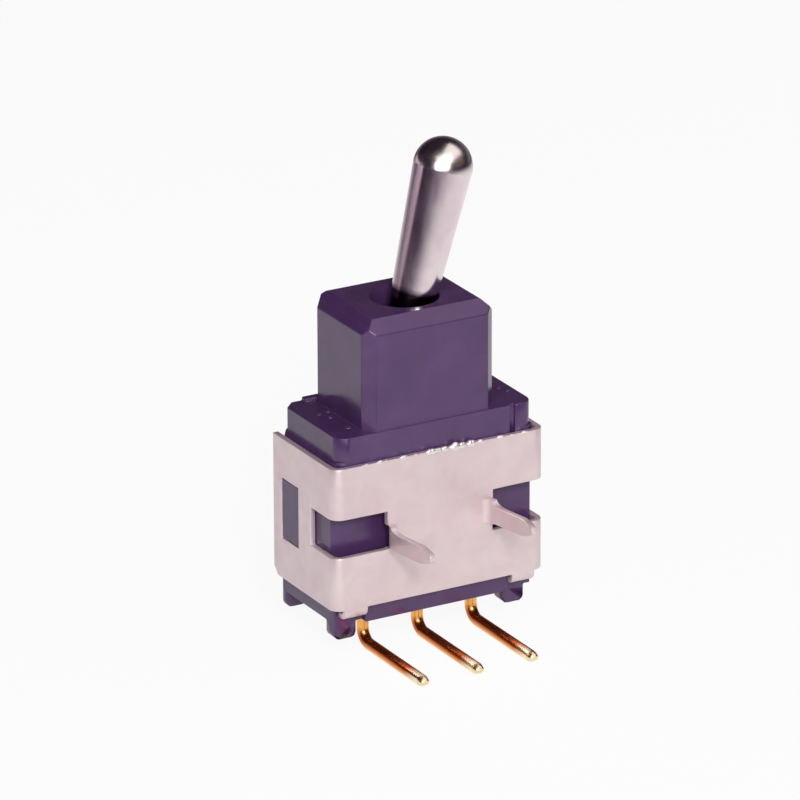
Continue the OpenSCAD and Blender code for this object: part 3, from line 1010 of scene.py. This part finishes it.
@dataclass(frozen=True)
class SoftBox:
    """A rectangular lamp that faces the switch."""

    name: str
    azimuth: float
    elevation: float
    distance: float
    width: float
    height: float
    radiance: float
    colour: Colour = (1.0, 1.0, 1.0)

    def make(self, target: Vector) -> None:
        """Adds the lamp.

        Args:
            target: Point that it faces.
        """
        a, e = math.radians(self.azimuth), math.radians(self.elevation)
        away = Vector((math.sin(a) * math.cos(e), -math.cos(a) * math.cos(e), math.sin(e)))
        light = bpy.data.lights.new(self.name, "AREA")
        light.shape = "RECTANGLE"
        light.size, light.size_y = self.width, self.height
        light.energy = self.radiance * math.pi * self.width * self.height
        light.color = self.colour
        lamp = bpy.data.objects.new(self.name, light)
        lamp.location = target + away * self.distance
        lamp.rotation_euler = away.to_track_quat("Z", "Y").to_euler()
        bpy.context.scene.collection.objects.link(lamp)


@dataclass
class Studio:
    """White floor, soft boxes and a background that is white to the camera and dark to the object."""

    floor_size: float = 0.42
    floor_colour: Colour = (0.86, 0.85, 0.85)
    camera_share: float = 0.93
    mirror_white: Colour = (0.94, 0.93, 0.93)
    mirror_shade: Colour = (0.07, 0.03, 0.085)
    sheet_r: float = 84 * MM
    sheet_fade: float = 40 * MM
    dark: Colour = (0.018, 0.008, 0.022)
    horizon: Colour = (0.27, 0.25, 0.26)
    horizon_side: tuple[float, float, float] = (0.62, 0.7, -0.95)
    horizon_start: float = 0.35
    horizon_stop: float = 1.05
    boxes: tuple[SoftBox, ...] = (
        SoftBox("sun", -21, 31, 0.30, 0.05, 0.05, 51, (1.0, 0.97, 0.93)),
        SoftBox("key", -32, 21, 0.16, 0.165, 0.085, 2.7),
        SoftBox("upper", -22, 48, 0.16, 0.17, 0.085, 1.2, (1.0, 0.97, 0.92)),
        SoftBox("top", 44, 60, 0.15, 0.20, 0.12, 1.1, (1.0, 0.96, 0.92)),
        SoftBox("side", -140, 0, 0.24, 0.26, 0.05, 0.8, (1.0, 0.82, 0.90)),
        SoftBox("card", 46, 27, 0.30, 0.24, 0.22, 0.13, (0.80, 0.52, 0.42)),
    )

    def world(self) -> None:
        """Sets the world up: white to the camera, and for the object dark, with a pale horizon behind."""
        world = bpy.data.worlds.new("studio")
        bpy.context.scene.world = world
        world.use_nodes = True
        nodes, links = world.node_tree.nodes, world.node_tree.links
        nodes.clear()
        out = nodes.new("ShaderNodeOutputWorld")
        path = nodes.new("ShaderNodeLightPath")
        white = nodes.new("ShaderNodeBackground")
        around = nodes.new("ShaderNodeBackground")
        blend = nodes.new("ShaderNodeMixShader")
        coordinates = nodes.new("ShaderNodeTexCoord")
        side = nodes.new("ShaderNodeVectorMath")
        side.operation = "DOT_PRODUCT"
        side.inputs[1].default_value = self.horizon_side
        rise = nodes.new("ShaderNodeMapRange")
        rise.interpolation_type = "SMOOTHSTEP"
        rise.inputs["From Min"].default_value = self.horizon_start
        rise.inputs["From Max"].default_value = self.horizon_stop
        tint = nodes.new("ShaderNodeMix")
        tint.data_type = "RGBA"
        tint.inputs["A"].default_value = (*self.dark, 1)
        tint.inputs["B"].default_value = (*self.horizon, 1)
        links.new(coordinates.outputs["Generated"], side.inputs[0])
        links.new(side.outputs["Value"], rise.inputs["Value"])
        links.new(rise.outputs["Result"], tint.inputs["Factor"])
        links.new(tint.outputs["Result"], around.inputs["Color"])
        white.inputs["Strength"].default_value = 1
        white.inputs["Color"].default_value = (1, 1, 1, 1)
        links.new(path.outputs["Is Camera Ray"], blend.inputs["Fac"])
        links.new(around.outputs["Background"], blend.inputs[1])
        links.new(white.outputs["Background"], blend.inputs[2])
        links.new(blend.outputs["Shader"], out.inputs["Surface"])

    def floor_material(self) -> bpy.types.Material:
        """Makes the floor's material: white to the camera, and plain pale for the light that it sends back.

        In the switch's metal and gloss it shows as a white sheet that turns dark further out.

        Returns:
            The material.
        """
        shader = Shader("pale_floor")
        shader.set(Base_Color=(*self.floor_colour, 1), Roughness=0.9)
        nodes = shader.nodes
        path = nodes.new("ShaderNodeLightPath")
        glow = nodes.new("ShaderNodeEmission")
        glow.inputs["Strength"].default_value = 1
        away = nodes.new("ShaderNodeVectorMath")
        away.operation = "DISTANCE"
        shader.link(shader.coordinates, away.inputs[0])
        reach = shader.spread(away.outputs["Value"], 0, 1,
                              self.sheet_r - self.sheet_fade, self.sheet_r + self.sheet_fade)
        seen = nodes.new("ShaderNodeMix")
        seen.data_type = "RGBA"
        seen.inputs["B"].default_value = (1, 1, 1, 1)
        shader.link(path.outputs["Is Camera Ray"], seen.inputs["Factor"])
        shader.link(shader.mix(reach, self.mirror_white, self.mirror_shade), seen.inputs["A"])
        shader.link(seen.outputs["Result"], glow.inputs["Color"])
        share = nodes.new("ShaderNodeMath")
        share.operation = "MULTIPLY_ADD"
        share.inputs[1].default_value = self.camera_share
        shader.link(path.outputs["Is Camera Ray"], share.inputs[0])
        shader.link(path.outputs["Is Glossy Ray"], share.inputs[2])
        blend = nodes.new("ShaderNodeMixShader")
        out = next(n for n in nodes if n.type == "OUTPUT_MATERIAL")
        shader.link(share.outputs["Value"], blend.inputs["Fac"])
        shader.link(shader.bsdf.outputs["BSDF"], blend.inputs[1])
        shader.link(glow.outputs["Emission"], blend.inputs[2])
        shader.link(blend.outputs["Shader"], out.inputs["Surface"])
        return shader.material

    def floor(self, level: float) -> None:
        """Adds the floor.

        Args:
            level: Its height.
        """
        h = self.floor_size / 2
        points = [Vector((x, y, level)) for x, y in ((-h, -h), (h, -h), (h, h), (-h, h))]
        mesh = add_mesh("floor", points, [(0, 1, 2, 3)])
        add_object("floor", mesh, [self.floor_material()])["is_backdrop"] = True

    def make(self, target: Vector, level: float) -> None:
        """Builds the studio.

        Args:
            target: Middle of the switch.
            level: Height of the floor.
        """
        self.world()
        self.floor(level)
        for box in self.boxes:
            box.make(target)


@dataclass(frozen=True)
class View:
    """The camera: where it stands round the switch, and how it is framed."""

    azimuth: float = -29.372
    elevation: float = 21.044
    roll: float = -0.189
    distance: float = 307.47 * MM
    lens: float = 340.56
    aim: Vector = Vector((0, 2.65 * MM, 8.35 * MM))
    left: float = 0.196 * MM
    lift: float = 1.212 * MM
    sensor: float = 36
    nearest: float = 0.01
    farthest: float = 10

    def make(self) -> None:
        """Adds the camera."""
        a, e, roll = (math.radians(v) for v in (self.azimuth, self.elevation, self.roll))
        back = Vector((math.sin(a) * math.cos(e), -math.cos(a) * math.cos(e), math.sin(e)))
        right = Vector((math.cos(a), math.sin(a), 0))
        up = back.cross(right)
        right, up = right * math.cos(roll) + up * math.sin(roll), up * math.cos(roll) - right * math.sin(roll)
        data = bpy.data.cameras.new("camera")
        data.sensor_width = self.sensor
        data.lens = self.lens
        data.clip_start, data.clip_end = self.nearest, self.farthest
        camera = bpy.data.objects.new("camera", data)
        place = Matrix((right, up, back)).transposed().to_4x4()
        place.translation = self.aim + back * self.distance - right * self.left + up * self.lift
        camera.matrix_world = place
        bpy.context.scene.collection.objects.link(camera)
        bpy.context.scene.camera = camera


def main() -> None:
    """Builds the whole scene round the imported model."""
    logging.basicConfig(level=logging.INFO)
    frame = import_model()
    cad_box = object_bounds()
    View().make()
    bpy.context.scene.view_settings.view_transform = "Standard"
    nodes: dict[str, bpy.types.Object] = frame["nodes"]
    hinge = next(joint for joint in frame["joints"] if joint["name"] == "lever_tilt")
    pivot = Vector(hinge["pos_m"])
    tilt = math.radians(-hinge["range_deg"][0] / 2)
    finishes = Finishes(pivot, tilt)
    pieces = [*Housing(nodes, finishes).build(pivot), *LeverUnit(nodes, finishes).build(pivot, tilt),
              *ContactUnit(nodes, finishes).build(), *TerminalRow(nodes, finishes).build()]
    for piece in pieces:
        LOG.info("%s: %d faces, %s", piece.name, len(piece.data.polygons), piece.data.materials[0].name)
    middle = (Vector(cad_box[0]) + Vector(cad_box[1])) / 2
    Studio().make(middle, cad_box[0][2])


if __name__ == "__main__":
    main()
